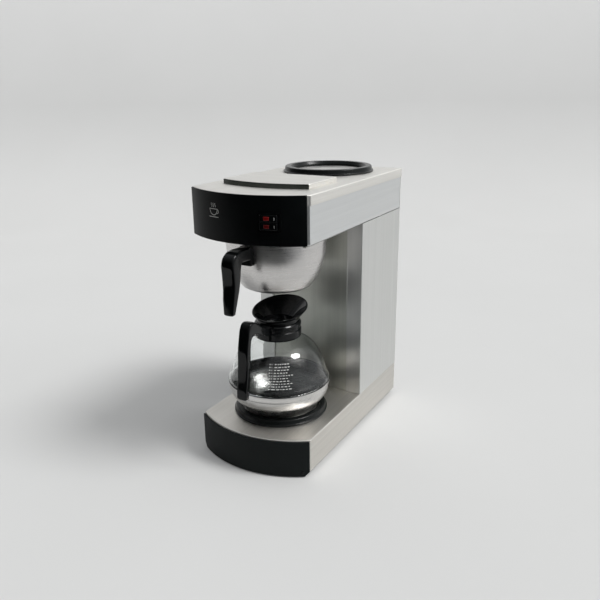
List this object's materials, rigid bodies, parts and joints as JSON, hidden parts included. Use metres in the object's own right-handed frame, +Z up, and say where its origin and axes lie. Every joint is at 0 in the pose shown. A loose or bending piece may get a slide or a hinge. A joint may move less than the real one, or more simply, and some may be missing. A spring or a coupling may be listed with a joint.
{
  "type": "drip coffee maker",
  "caption": "Tall pour-over drip coffee maker in brushed steel with a bowed black front, slide-out brew basket, glass jug, top warming plate and rocker switches.",
  "frame": {"origin": "middle of the part's footprint box, on the surface the feet stand on", "axes": "+Z up, -Y out of the front with the switches and handles, +X to the user's right"},
  "size_m": [0.2066, 0.4134, 0.4538],
  "materials": {
    "steel_body": "satin, brushed along the length",
    "steel_inner": "plain rolled sheet",
    "steel_spun": "spun, fine rings",
    "black_gloss": "moulded, glossy",
    "black_satin": "satin black",
    "rubber_foot": "moulded rubber",
    "aluminium_heater": "cast",
    "silicone_hose": "milky silicone",
    "brass_valve": "turned",
    "cream_plastic": "moulded",
    "jug_glass": "clear, blown",
    "red_lens": "tinted clear, unlit"
  },
  "bodies": {
    "housing": {"base_shell": "steel_body", "column_left_panel": "steel_body", "column_right_panel": "steel_body", "column_front_panel": "steel_body", "back_cover": "steel_body", "head_shell": "steel_body", "top_cover": "steel_body", "base_bottom_plate": "steel_inner", "water_tank": "steel_inner", "heater_bracket": "steel_inner", "basket_rail_left": "steel_inner", "basket_rail_right": "steel_inner", "lower_hotplate": "steel_spun", "upper_hotplate": "steel_spun", "lower_plate_ring": "black_gloss", "upper_plate_ring": "black_gloss", "switch_bezel": "black_gloss", "base_fascia": "black_satin", "head_fascia": "black_satin", "spray_head": "black_satin", "cord_gland": "black_satin", "switch_body_upper": "black_satin", "switch_body_lower": "black_satin", "foot_front_left": "rubber_foot", "foot_front_right": "rubber_foot", "foot_rear_left": "rubber_foot", "foot_rear_right": "rubber_foot", "lower_plate_heater": "aluminium_heater", "upper_plate_heater": "aluminium_heater", "lower_thermostat": "aluminium_heater", "upper_thermostat": "aluminium_heater", "flow_heater": "aluminium_heater", "tank_hose": "silicone_hose", "riser_tube": "silicone_hose", "check_valve": "brass_valve", "terminal_block": "cream_plastic", "thermal_cutout": "cream_plastic"},
    "brew_basket": {"basket_bowl": "steel_spun", "filter_insert": "steel_inner", "basket_handle_mount": "steel_inner", "basket_handle": "black_gloss"},
    "jug": {"jug_base": "steel_spun", "jug_glass": "jug_glass", "jug_collar": "black_gloss", "jug_funnel": "black_gloss", "jug_handle": "black_gloss", "jug_collar_screw": "steel_inner"},
    "fill_lid": {"fill_lid": "steel_body"},
    "rocker_upper": {"rocker_upper": "black_gloss", "rocker_lens_upper": "red_lens"},
    "rocker_lower": {"rocker_lower": "black_gloss", "rocker_lens_lower": "red_lens"}
  },
  "joints": [
    {"name": "basket_slide", "type": "slide", "parent": "housing", "child": "brew_basket", "axis": [0, -1, 0], "range_m": [0, 0.2]},
    {"name": "jug_lift", "type": "slide", "parent": "housing", "child": "jug", "axis": [0, 0, 1], "range_m": [0, 0.022]},
    {"name": "lid_lift", "type": "slide", "parent": "housing", "child": "fill_lid", "axis": [0, 0, 1], "range_m": [0, 0.03]},
    {"name": "rocker_upper_tilt", "type": "hinge", "parent": "housing", "child": "rocker_upper", "pos_m": [0.05238, -0.17146, 0.4119], "axis": [0, 0, 1], "range_deg": [0, 16]},
    {"name": "rocker_lower_tilt", "type": "hinge", "parent": "housing", "child": "rocker_lower", "pos_m": [0.05238, -0.17146, 0.4005], "axis": [0, 0, 1], "range_deg": [0, 16]}
  ]
}
